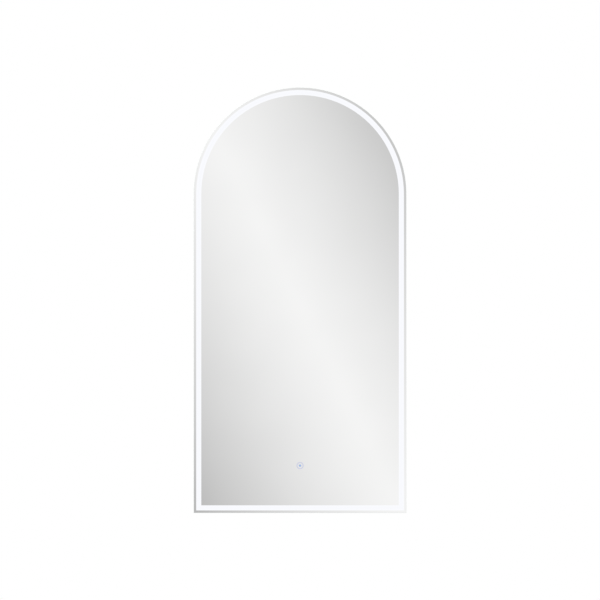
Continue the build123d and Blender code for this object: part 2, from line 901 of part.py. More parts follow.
def supply_groove():
    """Groove round the power supply where its cover meets its base."""
    deep = supply_groove_depth
    across, up = supply_length, supply_height
    inside = RectangleRounded(across - 2 * deep, up - 2 * deep, supply_corner - deep)
    ring = Rectangle(across + 2 * deep, up + 2 * deep) - inside
    middle = (supply_left_end + supply_right_end) / 2
    low = service_space - supply_groove_from_panel
    return prism(Pos(middle, lead_high_z) * ring, low - supply_groove_width, low)


def power_supply():
    """Slim power supply on the back panel, with an ear at each end and a strain relief."""
    rear = service_space - supply_thickness
    half = supply_height / 2
    z_low, z_high = lead_high_z - half, lead_high_z + half
    case = block(supply_left_end, supply_right_end, rear, service_space, z_low, z_high)
    case = fillet(case.edges().filter_by(Axis.Y), supply_corner)
    case = fillet(case.faces().sort_by(Axis.Y)[-1].edges(), supply_edge_round)
    case -= supply_groove()
    ears = block(
        supply_left_end - supply_ear_length,
        supply_right_end + supply_ear_length,
        service_space - supply_ear_thickness,
        service_space,
        lead_high_z + supply_ear_rise,
        z_high - supply_corner,
    )
    case += fillet(ears.edges().filter_by(Axis.Y), supply_corner)
    relief_plane = facing_left(supply_left_end, lead_depth, lead_high_z)
    relief = extrude(relief_plane * Circle(relief_radius), relief_length, taper=relief_taper)
    case += relief
    case -= [screw_hole(plane, case_screw) for plane in supply_screw_planes()]
    return case


def post_places():
    """Side, x and z of the two posts for the lid's screws, in opposite corners of the mains box."""
    middle = (mains_box_left + mains_box_right) / 2
    reach_x = mains_box_width / 2 - mains_post_inset
    reach_z = mains_box_height / 2 - mains_post_inset
    return [(side, middle + side * reach_x, lead_high_z + side * reach_z) for side in (-1, 1)]


def mains_posts():
    """Round posts that fill two inner corners of the mains box."""
    depths = (mains_box_rear, service_space - mains_box_wall)
    to_wall = mains_post_inset - mains_box_wall
    posts = []
    for side, x, z in post_places():
        posts.append(rod_to_front(x, z, mains_post_radius, *depths))
        across = sorted((x, x + side * to_wall))
        up = sorted((z, z + side * to_wall))
        posts.append(block(*across, *depths, *up))
    return posts


def lid_screw_planes():
    """Planes on the lid's wall side under its two screw heads."""
    depth = mains_box_rear - mains_lid_thickness
    return [facing_wall(x, depth, z) for _, x, z in post_places()]


def box_screw_planes():
    """Planes on the mains box's base under its two screw heads."""
    depth = service_space - mains_box_wall
    half = mains_screw_spacing / 2
    return [facing_wall(mains_entry_x, depth, lead_high_z + side * half) for side in (-1, 1)]


def mains_box():
    """Open box beside the power supply, for the mains terminals, with posts for its lid's screws."""
    half = mains_box_height / 2
    z_low, z_high = lead_high_z - half, lead_high_z + half
    box = block(mains_box_left, mains_box_right, mains_box_rear, service_space, z_low, z_high)
    box = fillet(box.edges().filter_by(Axis.Y), supply_corner)
    wall = mains_box_wall
    box -= block(
        mains_box_left + wall,
        mains_box_right - wall,
        mains_box_rear,
        service_space - wall,
        z_low + wall,
        z_high - wall,
    )
    link_hole = mains_link_radius + screw_clearance
    box -= rod_across(mains_box_left - wall, mains_box_left + 2 * wall, lead_depth, lead_high_z, link_hole)
    box += mains_posts()
    box -= [screw_hole(plane, lid_screw) for plane in lid_screw_planes()]
    box -= [screw_hole(plane, case_screw) for plane in box_screw_planes()]
    return box


def mains_lid():
    """Lid of the mains box, on the wall side, with the mains cable's hole."""
    middle = (mains_box_left + mains_box_right) / 2
    outline = Pos(middle, lead_high_z) * RectangleRounded(mains_box_width, mains_box_height, supply_corner)
    lid = prism(outline, mains_box_rear - mains_lid_thickness, mains_box_rear)
    lid -= [screw_hole(plane, lid_screw) for plane in lid_screw_planes()]
    return lid - rod_to_front(mains_entry_x, lead_high_z, mains_grommet_radius, 0, service_space)


def mains_grommet():
    """Grommet in the lid that the mains cable comes in through."""
    thickness = mains_grommet_flange_thickness
    front, rear = mains_box_rear, mains_box_rear - mains_lid_thickness
    at_lid = Pos(mains_entry_x, lead_high_z)
    grommet = prism(at_lid * Circle(mains_grommet_radius), rear, front)
    grommet += prism(at_lid * Circle(mains_grommet_flange), rear - thickness, rear)
    grommet += prism(at_lid * Circle(mains_grommet_flange), front, front + thickness)
    return grommet - rod_to_front(mains_entry_x, lead_high_z, mains_bore_radius, 0, service_space)


def terminal_block():
    """Terminal block in the mains box: notched between its ways, with two screw wells in each."""
    front = service_space - mains_box_wall
    rear = front - terminal_thickness
    right = terminal_left + terminal_width
    z_low = lead_high_z - terminal_height / 2
    body = block(terminal_left, right, rear, front, z_low, z_low + terminal_height)
    pitch = terminal_height / terminal_ways
    for way in range(terminal_ways):
        z = z_low + pitch * (way + 0.5)
        for x in (terminal_left + terminal_width / 4, right - terminal_width / 4):
            body -= rod_to_front(x, z, terminal_screw_radius, rear, rear + terminal_screw_depth)
    for way in range(1, terminal_ways):
        low = z_low + pitch * way - terminal_notch_width / 2
        high = low + terminal_notch_width
        body -= block(terminal_left, right, rear, rear + terminal_notch_depth, low, high)
    return body


def mains_link():
    """Short cable from the terminal block to the power supply."""
    return rod_across(supply_right_end, terminal_left, lead_depth, lead_high_z, mains_link_radius)


def lead_points():
    """Corners of the route: out of the supply, through the panel, along the leg, down, into the door."""
    front = carcass_depth - lead_front_setback
    return [
        (supply_left_end - relief_length, -lead_depth, lead_high_z),
        (lead_x, -lead_depth, lead_high_z),
        (lead_x, -front, lead_high_z),
        (lead_x, -front, lead_low_z),
        (lead_x, -harness_floor, lead_low_z),
    ]


def lamp_lead():
    """Lead from the power supply into the door."""
    radii = [lead_rear_bend, lead_upper_bend, lead_lower_bend]
    spine = FilletPolyline(*lead_points(), radius=radii)
    start = Plane(origin=spine @ 0, z_dir=spine % 0)
    lead = sweep(start * Circle(lead_radius), path=spine)
    volume_share = lead.volume / (pi * lead_radius**2 * spine.length)
    print("lead: length", round(spine.length, 1), "radii", radii, "volume share", round(volume_share, 4))
    return lead


def ring_grommet(z, low, high):
    """Grommet round the lead in a board between two depths."""
    outer = lead_radius + grommet_wall
    body = rod_to_front(lead_x, z, outer - screw_clearance, low, high)
    body += rod_to_front(lead_x, z, outer + grommet_flange, low - grommet_flange, low)
    return body - rod_to_front(lead_x, z, lead_radius + screw_clearance, 0, glass_front)


def panel_grommet():
    """Grommet in the back panel."""
    return ring_grommet(lead_high_z, service_space, panel_front)


def door_grommet():
    """Grommet in the door's back."""
    return ring_grommet(lead_low_z, door_back, door_back + panel_thickness)


def lead_clips():
    """Clips that hold the lead along the leg."""
    clips = []
    for setback in clip_setbacks:
        middle = carcass_depth - setback
        top = lead_x + lead_radius + clip_wall
        half_high = lead_radius + clip_wall
        clip = block(
            left_face,
            top,
            middle - clip_width / 2,
            middle + clip_width / 2,
            lead_high_z - half_high,
            lead_high_z + half_high,
        )
        clip = fillet(clip.edges().filter_by(Axis.Y).group_by(Axis.X)[-1], lead_radius)
        bore = rod_to_front(lead_x, lead_high_z, lead_radius + screw_clearance, 0, carcass_depth)
        clips.append(clip - bore)
    return clips


# Screws, one node for each kind


def plate_screws():
    """Screws that hold the mounting plates to the leg."""
    planes = [plane for z in hinge_places.values() for plane in plate_screw_planes(z)]
    return [screw_along(plane, euro_screw) for plane in planes]


def arm_screws():
    """Screws that hold the arms to their plates."""
    planes = [plane for z in hinge_places.values() for plane in arm_screw_planes(z)]
    return [screw_along(plane, arm_screw) for plane in planes]


def cup_screws():
    """Screws that hold the cups to the door."""
    planes = [plane for z in hinge_places.values() for plane in cup_screw_planes(z)]
    return [screw_along(plane, cup_screw) for plane in planes]


def catch_screws():
    """Screws that hold the catches to the leg."""
    planes = [plane for z in catch_places for plane in catch_screw_planes(z)]
    return [screw_along(plane, catch_screw) for plane in planes]


def strike_screws():
    """Screws that hold the strike plates to the door."""
    planes = [plane for z in catch_places for plane in strike_screw_planes(z)]
    return [screw_along(plane, strike_screw) for plane in planes]


def supply_screws():
    """Screws that hold the power supply to the back panel."""
    return [screw_along(plane, case_screw) for plane in supply_screw_planes()]


def box_screws():
    """Screws that hold the mains box to the back panel."""
    return [screw_along(plane, case_screw) for plane in box_screw_planes()]


def lid_screws():
    """Screws that hold the lid to the mains box's posts."""
    return [screw_along(plane, lid_screw) for plane in lid_screw_planes()]


def whole_model():
    """Every node's name and shape."""
    nodes = {
        "carcass_hoop": carcass_hoop(),
        "carcass_floor": carcass_floor(),
        "back_panel": back_panel(),
        "hanging_batten": hanging_batten(),
        "lower_batten": lower_batten(),
        "dowels": dowels(),
        "shelf_pegs": shelf_pegs(),
        "catch_housings": catch_housings(),
        "catch_magnets": catch_magnets(),
        "catch_screws": catch_screws(),
        "plate_screws": plate_screws(),
        "arm_screws": arm_screws(),
        "power_supply": power_supply(),
        "supply_screws": supply_screws(),
        "mains_box": mains_box(),
        "box_screws": box_screws(),
        "mains_lid": mains_lid(),
        "lid_screws": lid_screws(),
        "mains_grommet": mains_grommet(),
        "terminal_block": terminal_block(),
        "mains_link": mains_link(),
        "panel_grommet": panel_grommet(),
        "lead_clips": lead_clips(),
        "lamp_lead": lamp_lead(),
        "door_board": door_board(),
        "mirror_glass": mirror_glass(),
        "frosted_band": frosted_band(),
        "touch_button": touch_button(),
        "touch_sensor": touch_sensor(),
        "edge_seal": edge_seal(),
        "mirror_tape": mirror_tape(),
        "lamp_channel": lamp_channel(),
        "lamp_tape": lamp_tape(),
        "lamp_diffuser": lamp_diffuser(),
        "door_harness": door_harness(),
        "door_grommet": door_grommet(),
        "inner_mirror": inner_mirror(),
        "strike_plates": strike_plates(),
        "strike_screws": strike_screws(),
        "door_bumpers": door_bumpers(),
        "cup_screws": cup_screws(),
    }
    for number, name in enumerate(shelf_names):
        nodes[f"shelf_{name}"] = shelf(number)
    for name, hinge_z in hinge_places.items():
        nodes[f"mounting_plate_{name}"] = mounting_plate(hinge_z)
        nodes[f"hinge_arm_{name}"] = hinge_arm(hinge_z)
        nodes[f"hinge_cup_{name}"] = hinge_cup(hinge_z)
        nodes[f"hinge_pin_{name}"] = hinge_pin(hinge_z)
    return nodes


def write_parts():
    """One STEP file for each node."""
    os.makedirs("parts", exist_ok=True)
    for name, shape in whole_model().items():
        pieces = shape if isinstance(shape, list) else [shape]
        solids = [solid for piece in pieces for solid in piece.solids()]
        export_step(Compound(children=solids), f"parts/{name}.step")


write_parts()
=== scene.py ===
import json
import math

import bmesh
import bpy
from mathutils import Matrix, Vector


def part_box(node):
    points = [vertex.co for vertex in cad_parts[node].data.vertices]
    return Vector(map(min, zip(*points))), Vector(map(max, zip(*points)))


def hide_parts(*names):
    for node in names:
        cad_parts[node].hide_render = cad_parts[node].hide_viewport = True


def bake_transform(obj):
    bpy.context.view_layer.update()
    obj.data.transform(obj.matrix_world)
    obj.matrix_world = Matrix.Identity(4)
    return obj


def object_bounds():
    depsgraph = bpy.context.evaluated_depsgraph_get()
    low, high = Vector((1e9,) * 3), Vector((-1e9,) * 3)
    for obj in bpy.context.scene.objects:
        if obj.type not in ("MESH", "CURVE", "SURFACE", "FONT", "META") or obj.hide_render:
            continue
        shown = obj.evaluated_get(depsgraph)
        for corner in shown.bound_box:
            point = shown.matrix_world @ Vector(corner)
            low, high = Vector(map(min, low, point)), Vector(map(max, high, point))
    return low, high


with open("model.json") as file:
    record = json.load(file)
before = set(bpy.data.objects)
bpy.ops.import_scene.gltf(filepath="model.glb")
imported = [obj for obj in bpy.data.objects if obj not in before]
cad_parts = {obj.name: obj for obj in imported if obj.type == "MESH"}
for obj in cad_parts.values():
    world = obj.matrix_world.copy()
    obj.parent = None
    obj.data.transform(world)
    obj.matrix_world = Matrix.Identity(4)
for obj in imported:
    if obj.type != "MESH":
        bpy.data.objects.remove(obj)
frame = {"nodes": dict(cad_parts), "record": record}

# Camera, studio and finishes for a lighted mirror cabinet, and the smooth line of its lamp lead.
# Metres, in the same frame as the solids: +Z is up, -Y is the front, and the origin is on the
# wall midway between the two hanging screws.
cad_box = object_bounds()
scene = bpy.context.scene
millimetre = 0.001

# Camera, straight in front. On the mirror's front face the photo has this many pixels to a
# metre, and the middle of the mirror's outline lies at this pixel. The lens and the sensor are
# in millimetres.
photo_side = 600
photo_scale = 425.6
photo_middle = (300.05, 300.20)
lens = 85.0
sensor = 36.0

# Sheen, which the mirror reflects from straight ahead. It is brightest along one slanting line
# and falls off to both sides, as far as its widest. Slant, shift, softness and widest are
# slopes of a ray that leaves the mirror, and fall and curve are the light lost for a slope of
# 1 and for the square of it.
mirror_reflectance = 0.93
sheen_slant = 0.5015
sheen_shift = 0.00225
sheen_softness = 0.004
sheen_widest = 0.155
sheen_peak = 0.908
sheen_fall = 1.705
sheen_curve = 9.41

# Room, which every other reflection sees. It has slow waves that slant as the sheen does, gets
# lighter upwards and has a bright ceiling. It gives way to the sheen as a ray turns ahead.
room_level = 0.70
room_rise = 0.18
wave_height = 0.11
waves_per_slope = 1.6
ceiling_gain = 0.45
ceiling_start = 0.55
ceiling_end = 0.85
sheen_start = 0.80
sheen_full = 0.96

# Light from all round, which lights the object, and the white that is seen behind it
ambient_level = 0.78
ambient_rise = 0.08
backdrop_level = 1.0

# Soft square lights, which all point at the mirror's middle: place, width and watts
studio_lights = {
    "key": ((-1.9, -2.4, 1.7), 1.8, 25.0),
    "front": ((1.7, -2.5, 0.9), 1.6, 13.0),
    "fill": ((1.8, 2.2, 1.4), 1.6, 14.0),
}
light_bounces = 16

# Floor, well below the hung cabinet and out of the main view
floor_drop = 0.69
floor_radius = 2.0
floor_sides = 96
floor_fade_start = 1.0
floor_glow = 0.28

# The mirror's outline and the places on it that the finishes follow
glass_low, glass_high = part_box("mirror_glass")
glass_middle = (glass_low + glass_high) / 2
half_width = glass_high.x
mirror_bottom = glass_low.z
spring_z = glass_high.z - half_width
rim_width = 6 * millimetre
band_width = 12 * millimetre
band_middle = rim_width + band_width / 2
icon_low, icon_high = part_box("touch_button")
icon_z = (icon_low.z + icon_high.z) / 2
icon_gap_radius = 4.5 * millimetre

# Sides that a mirror can face, along Y, and how squarely a surface has to face a side to
# count as its flat face, or as that face and the arris round it
to_front = -1
to_wall = 1
flat_level = 0.9
arris_level = 0.5

# Finishes
noise_range = (0.25, 0.75)  # nearly all values of the noise texture lie in it
glass_ior = 1.52
silicone_ior = 1.41
shelf_absorption = 9.0
edge_transmission = 0.4
# Painted shade along the mirror's rim: the silver's brightness at the outline
painted_rim_shade_level = 0.975  # of the silver at the mirror's outline
silver_blue = 0.997
etching_waves = 1800
lamp_dots = 120.0  # to a metre
lamp_dot_edge = (0.12, 0.16)  # from a dot's middle, in steps from dot to dot
lengthwise = (0.05, 1, 1)  # draws marks out along X

# Looks of the metals and of the moulded pieces, by the record's slots
metal_looks = {
    "nickel_steel": dict(colour=(0.66, 0.64, 0.60), roughness=(0.20, 0.30), stretch=lengthwise),
    "zinc_screw": dict(colour=(0.60, 0.62, 0.64), roughness=(0.25, 0.42), cloud=0.08),
    "strike_steel": dict(
        colour=(0.58, 0.60, 0.61), roughness=(0.30, 0.42), stretch=lengthwise, cloud=0.07
    ),
    "peg_chrome": dict(colour=(0.72, 0.73, 0.74), roughness=(0.04, 0.10), scratch=0.003),
    "lamp_aluminium": dict(colour=(0.74, 0.75, 0.76), roughness=(0.28, 0.4), stretch=lengthwise),
}
moulded_looks = {
    "opal_plastic": dict(colour=(0.85, 0.85, 0.84), roughness=(0.35, 0.45), grain=0.01),
    "seal_foam": dict(colour=(0.035, 0.035, 0.036), roughness=(0.8, 0.95), grain=0.2, waves=900),
    "bond_tape": dict(colour=(0.72, 0.72, 0.70), roughness=(0.6, 0.75), grain=0.1, waves=900),
    "sensor_black": dict(colour=(0.022, 0.022, 0.024), roughness=(0.4, 0.5)),
    "wire_white": dict(colour=(0.70, 0.70, 0.69), roughness=(0.34, 0.42), grain=0.01),
    "wire_black": dict(colour=(0.022, 0.022, 0.023), roughness=(0.38, 0.46), grain=0.01),
    "fitting_white": dict(colour=(0.78, 0.78, 0.77), roughness=(0.28, 0.38), grain=0.01),
    "grommet_grey": dict(colour=(0.17, 0.175, 0.18), roughness=(0.6, 0.75), specular=0.35),
    "case_white": dict(
        colour=(0.66, 0.665, 0.665), roughness=(0.42, 0.52), grain=0.06, waves=1100
    ),
    "terminal_white": dict(colour=(0.78, 0.77, 0.72), roughness=(0.3, 0.4)),
    "ferrite": dict(colour=(0.045, 0.045, 0.05), roughness=(0.5, 0.65), grain=0.08),
}

# Lead from the power supply to the lamp, as a route of points from the supply's relief to
# the door: along the wall, through the panel, forwards along the leg and down past the hinge
lead_radius = 2 * millimetre
lead_sides = 16
lead_order = 3  # of the spline
lead_steps = 12  # from one point of the route to the next
lead_route = [
    (-0.1380, -0.0093, -0.098),
    (-0.1580, -0.0093, -0.098),
    (-0.1840, -0.0093, -0.098),
    (-0.2070, -0.0093, -0.098),
    (-0.2220, -0.0093, -0.098),
    (-0.2220, -0.0243, -0.098),
    (-0.2220, -0.0440, -0.098),
    (-0.2220, -0.0640, -0.098),
    (-0.2220, -0.0815, -0.098),
    (-0.2220, -0.1175, -0.098),
    (-0.2220, -0.1175, -0.134),
    (-0.2220, -0.1175, -0.160),
    (-0.2220, -0.1175, -0.187),
    (-0.2220, -0.1175, -0.210),
    (-0.2220, -0.1175, -0.230),
    (-0.2220, -0.1175, -0.248),
    (-0.2220, -0.1355, -0.248),
    (-0.2220, -0.1425, -0.248),
]


class Nodes:
    """Short calls that add nodes to one node tree. A value is a number, a tuple or a socket."""

    def __init__(self, tree):
        self.tree = tree
        tree.nodes.clear()

    def feed(self, socket, value):
        """Links another socket to this one, or sets its value."""
        if isinstance(value, bpy.types.NodeSocket):
            self.tree.links.new(value, socket)
        else:
            socket.default_value = value

    def add(self, kind, inputs=None, **settings):
        """Adds a node. Its inputs go by name, or by number where names repeat."""
        node = self.tree.nodes.new("ShaderNode" + kind)
        for name, value in settings.items():
            setattr(node, name, value)
        for name, value in (inputs or {}).items():
            self.feed(node.inputs[name], value)
        return node

    def math(self, operation, *values):
        """One operation on numbers."""
        return self.add("Math", dict(enumerate(values)), operation=operation).outputs[0]

    def length(self, first, second):
        """Length of a line that goes this far along two square directions."""
        squares = [self.math("POWER", value, 2.0) for value in (first, second)]
        return self.math("SQRT", self.math("ADD", *squares))

    def ramp(self, value, start, end, low=0.0, high=1.0):
        """Smooth step from low at start to high at end."""
        inputs = {
            "Value": value,
            "From Min": start,
            "From Max": end,
            "To Min": low,
            "To Max": high,
        }
        return self.add("MapRange", inputs, interpolation_type="SMOOTHSTEP").outputs[0]

    def mix(self, factor, first, second):
        """Colour between two, from first at 0 to second at 1."""
        return self.add("Mix", {0: factor, 6: first, 7: second}, data_type="RGBA").outputs[2]

    def mix_number(self, factor, first, second):
        """Number between two, from first at 0 to second at 1."""
        return self.add("Mix", {0: factor, 2: first, 3: second}, data_type="FLOAT").outputs[0]

    def place(self):
        """Object coordinates, which are the shared frame's metres on every piece."""
        return self.add("TexCoord").outputs["Object"]

    def stretched_place(self, stretch):
        """Object coordinates times a factor for each axis, where below 1 draws a texture out."""
        return self.add("Mapping", {"Vector": self.place(), "Scale": stretch}).outputs[0]

    def normal(self):
        """Direction straight out of the surface, on the piece's own axes."""
        return self.add("TexCoord").outputs["Normal"]

    def split(self, vector):
        """The three parts of a vector or colour."""
        return self.add("SeparateXYZ", {0: vector}).outputs

    def noise(self, waves, detail=2.0, stretch=(1, 1, 1), spread=(0.0, 1.0)):
        """Noise with this many waves to a metre, spread over a range."""
        inputs = {"Vector": self.stretched_place(stretch), "Scale": waves, "Detail": detail}
        value = self.add("TexNoise", inputs).outputs["Fac"]
        return self.ramp(value, *noise_range, *spread)

    def cells(self, waves, stretch=(1, 1, 1)):
        """A random grey for each cell, with this many cells to a metre."""
        inputs = {"Vector": self.stretched_place(stretch), "Scale": waves}
        return self.split(self.add("TexVoronoi", inputs).outputs["Color"])[0]

    def bump(self, height, depth):
        """Surface relief of this depth in metres."""
        return self.add("Bump", {"Height": height, "Strength": 1.0, "Distance": depth}).outputs[0]

    def inset(self):
        """Distance inwards from the mirror's outline."""
        x, _, z = self.split(self.place())
        above_spring = self.math("MAXIMUM", self.math("SUBTRACT", z, spring_z), 0.0)
        from_side = self.math("SUBTRACT", half_width, self.length(x, above_spring))
        return self.math("MINIMUM", from_side, self.math("SUBTRACT", z, mirror_bottom))

    def facing(self, side, least=flat_level):
        """1 where a surface faces a side by at least this much, and 0 elsewhere."""
        normal_y = self.split(self.normal())[1]
        return self.math("GREATER_THAN", self.math("MULTIPLY", normal_y, side), least)


def place_camera():
    """Puts the camera where the photo's scale and middle say."""
    distance = photo_side / photo_scale * lens / sensor
    across = (photo_side / 2 - photo_middle[0]) / photo_scale
    up = (photo_middle[1] - photo_side / 2) / photo_scale
    data = bpy.data.cameras.new("camera")
    data.lens = lens
    data.sensor_width = sensor
    camera = bpy.data.objects.new("camera", data)
    camera.location = (glass_middle.x + across, glass_low.y - distance, glass_middle.z + up)
    camera.rotation_euler = (math.pi / 2, 0, 0)
    scene.collection.objects.link(camera)
    scene.camera = camera


def new_material(name):
    """An empty material and its node calls."""
    material = bpy.data.materials.new(name)
    material.use_nodes = True
    return material, Nodes(material.node_tree)


def finish(material, n, inputs, volume=None):
    """Closes a material with one shader, and with a volume if it has one."""
    ends = {"Surface": n.add("BsdfPrincipled", inputs).outputs[0]}
    if volume:
        ends["Volume"] = volume
    n.add("OutputMaterial", ends)
    return material


def clouded(n, colour, cloud, waves, detail=2.0):
    """A colour that goes a little lighter and darker, by this share of itself."""
    low = tuple(value * (1 - cloud) for value in colour) + (1,)
    high = tuple(min(value * (1 + cloud), 1.0) for value in colour) + (1,)
    return n.mix(n.noise(waves, detail=detail), low, high)


def lacquer():
    """Satin white lacquer, with the faint orange peel that a spray gun leaves."""
    material, n = new_material("white_lacquer")
    inputs = {
        "Base Color": n.mix(n.noise(5), (0.79, 0.79, 0.785, 1), (0.82, 0.82, 0.812, 1)),
        "Roughness": n.noise(60, spread=(0.30, 0.38)),
        "Normal": n.bump(n.noise(420, detail=3), 0.03 * millimetre),
        "Coat Weight": 0.2,
        "Coat Roughness": 0.12,
    }
    return finish(material, n, inputs)


def white_panel():
    """White faced thin board with a fine pebble grain."""
    material, n = new_material("white_panel")
    fleck = n.noise(700, detail=3)
    inputs = {
        "Base Color": n.mix(fleck, (0.775, 0.775, 0.768, 1), (0.795, 0.795, 0.788, 1)),
        "Roughness": n.noise(150, spread=(0.42, 0.55)),
        "Normal": n.bump(n.noise(1100), 0.05 * millimetre),
    }
    return finish(material, n, inputs)


def batten_board():
    """Bare board of pressed wood chips, with wood dust between them."""
    material, n = new_material("batten_board")
    chips = n.cells(420, stretch=(0.45, 1, 1))
    dust = n.noise(1500, detail=3)
    dust_cover = n.math("MULTIPLY", dust, 0.45)
    chip_colour = n.mix(chips, (0.44, 0.33, 0.20, 1), (0.66, 0.54, 0.37, 1))
    inputs = {
        "Base Color": n.mix(dust_cover, chip_colour, (0.58, 0.48, 0.34, 1)),
        "Roughness": n.noise(300, spread=(0.62, 0.8)),
        "Normal": n.bump(n.math("ADD", chips, dust), 0.08 * millimetre),
    }
    return finish(material, n, inputs)


def beech():
    """Bare beech with its short dark flecks along the grain."""
    material, n = new_material("beech")
    grain = n.noise(700, detail=4, stretch=(0.06, 1, 1))
    inputs = {
        "Base Color": n.mix(grain, (0.50, 0.31, 0.17, 1), (0.68, 0.47, 0.29, 1)),
        "Roughness": n.noise(300, spread=(0.5, 0.65)),
        "Normal": n.bump(grain, 0.05 * millimetre),
    }
    return finish(material, n, inputs)


def mirror(name, side):
    """Silvered glass that mirrors on one side, with grey paint on its back and a green edge.

    One shader holds all four surfaces, laid over each other in turn: the edge, the arris
    round the mirrored face, which is coloured pale as a painted highlight, that face, whose
    silver has painted shade towards its outline, and the back.
    """
    material, n = new_material(name)
    # Painted shade: the silver dims towards the outline across the rim's width
    painted_rim_shade = n.ramp(n.inset(), 0.0, rim_width, painted_rim_shade_level, 1.0)
    ripple = n.noise(7, detail=1, spread=(0.985, 1.0))
    bright = n.math("MULTIPLY", n.math("MULTIPLY", painted_rim_shade, ripple), mirror_reflectance)
    blue = n.math("MULTIPLY", bright, silver_blue)
    silver = n.add("CombineColor", {"Red": bright, "Green": bright, "Blue": blue}).outputs[0]
    edge = n.mix(n.noise(25), (0.33, 0.53, 0.46, 1), (0.38, 0.57, 0.50, 1))
    # Painted highlight: the arris is coloured nearly white in place of the bright reflection of a
    # polished glass arris
    arris = n.mix(n.noise(25), (0.88, 0.93, 0.91, 1), (0.92, 0.96, 0.94, 1))
    paint = n.mix(n.noise(30, detail=4), (0.17, 0.20, 0.22, 1), (0.21, 0.24, 0.26, 1))
    ground = n.noise(400, spread=(0.08, 0.2))
    on_silver = n.facing(side)
    layers = (
        (n.facing(side, arris_level), arris, ground),
        (on_silver, silver, 0.0),
        (n.facing(-side), paint, n.noise(500, spread=(0.4, 0.55))),
    )
    colour, rough = edge, ground
    for where, layer_colour, layer_rough in layers:
        colour = n.mix(where, colour, layer_colour)
        rough = n.mix_number(where, rough, layer_rough)
    inputs = {
        "Base Color": colour,
        "Metallic": on_silver,
        "Roughness": rough,
        "IOR": glass_ior,
        "Coat Weight": 0.6,
        "Coat Roughness": 0.0,
    }
    return finish(material, n, inputs)


def finish_etched(material, n, glow, dimmest):
    """Closes the material of a layer that is lit from behind, with the etching's fine grain."""
    inputs = {
        "Base Color": (0.02, 0.02, 0.02, 1),
        "Roughness": n.noise(etching_waves, spread=(0.5, 0.7)),
        "Specular IOR Level": 0.1,
        "Emission Color": glow,
        "Emission Strength": n.noise(etching_waves, spread=(dimmest, 1.0)),
    }
    return finish(material, n, inputs)


def lit_frost():
    """Etched band lit from behind, a little dimmer along its middle."""
    material, n = new_material("lit_frost")
    from_middle = n.math("ABSOLUTE", n.math("SUBTRACT", n.inset(), band_middle))
    to_edge = n.ramp(from_middle, 0.0, band_width / 2)
    glow = n.mix(to_edge, (0.925, 0.933, 0.970, 1), (0.942, 0.950, 0.983, 1))
    return finish_etched(material, n, glow, dimmest=0.992)


def button_frost():
    """Etched ring and dot of the touch button, lit from behind: a blue dot in a paler ring."""
    material, n = new_material("button_frost")
    x, _, z = n.split(n.place())
    radius = n.length(x, n.math("SUBTRACT", z, icon_z))
    is_ring = n.math("GREATER_THAN", radius, icon_gap_radius)
    glow = n.mix(is_ring, (0.33, 0.475, 0.77, 1), (0.58, 0.60, 0.76, 1))
    return finish_etched(material, n, glow, dimmest=0.98)


def shelf_glass():
    """Clear float glass, which shows its green at the polished edges."""
    material, n = new_material("shelf_glass")
    upright = n.math("ABSOLUTE", n.split(n.normal())[2])
    on_edge = n.ramp(upright, arris_level, flat_level, 1.0, 0.0)
    clear = n.mix(n.noise(6), (0.975, 0.99, 0.985, 1), (0.99, 1.0, 0.995, 1))
    green = n.mix(n.noise(40), (0.36, 0.62, 0.53, 1), (0.42, 0.68, 0.58, 1))
    tint = {"Color": (0.50, 0.86, 0.72, 1), "Density": shelf_absorption}
    inputs = {
        "Base Color": n.mix(on_edge, clear, green),
        "Roughness": n.mix_number(on_edge, 0.0, n.noise(300, spread=(0.08, 0.16))),
        "IOR": glass_ior,
        "Transmission Weight": n.mix_number(on_edge, 1.0, edge_transmission),
        "Normal": n.bump(n.noise(12, detail=1), 0.004 * millimetre),
    }
    return finish(material, n, inputs, volume=n.add("VolumeAbsorption", tint).outputs[0])


def metal(name, colour, roughness, stretch=(1, 1, 1), cloud=0.04, scratch=0.01):
    """Plated metal with fine marks, scratch millimetres deep."""
    material, n = new_material(name)
    marks = n.noise(1600, detail=3, stretch=stretch)
    inputs = {
        "Base Color": clouded(n, colour, cloud, waves=90, detail=3),
        "Metallic": 1.0,
        "Roughness": n.noise(220, detail=3, stretch=stretch, spread=roughness),
        "Normal": n.bump(marks, scratch * millimetre),
    }
    return finish(material, n, inputs)


def moulded(name, colour, roughness, grain=0.02, waves=1500, cloud=0.03, specular=0.5):
    """Moulded plastic or rubber with a fine mould texture, grain millimetres deep."""
    material, n = new_material(name)
    inputs = {
        "Base Color": clouded(n, colour, cloud, waves=40),
        "Roughness": n.noise(120, spread=roughness),
        "Specular IOR Level": specular,
        "Normal": n.bump(n.noise(waves), grain * millimetre),
    }
    return finish(material, n, inputs)


def lamp_strip():
    """White tape with a row of pale yellow phosphor dots."""
    material, n = new_material("lamp_strip")
    x, _, z = n.split(n.place())
    steps = n.math("MULTIPLY", n.math("ADD", x, z), lamp_dots)
    from_dot = n.math("ABSOLUTE", n.math("SUBTRACT", n.math("FRACT", steps), 0.5))
    off_dot = n.ramp(from_dot, *lamp_dot_edge)
    inputs = {
        "Base Color": n.mix(off_dot, (0.85, 0.68, 0.20, 1), (0.80, 0.80, 0.78, 1)),
        "Roughness": n.noise(300, spread=(0.4, 0.5)),
    }
    return finish(material, n, inputs)


def clear_silicone():
    """Soft clear bumper, slightly cloudy."""
    material, n = new_material("clear_silicone")
    inputs = {
        "Base Color": n.mix(n.noise(300), (0.90, 0.91, 0.91, 1), (0.96, 0.97, 0.97, 1)),
        "Roughness": n.noise(500, spread=(0.15, 0.25)),
        "IOR": silicone_ior,
        "Transmission Weight": 0.85,
    }
    return finish(material, n, inputs)


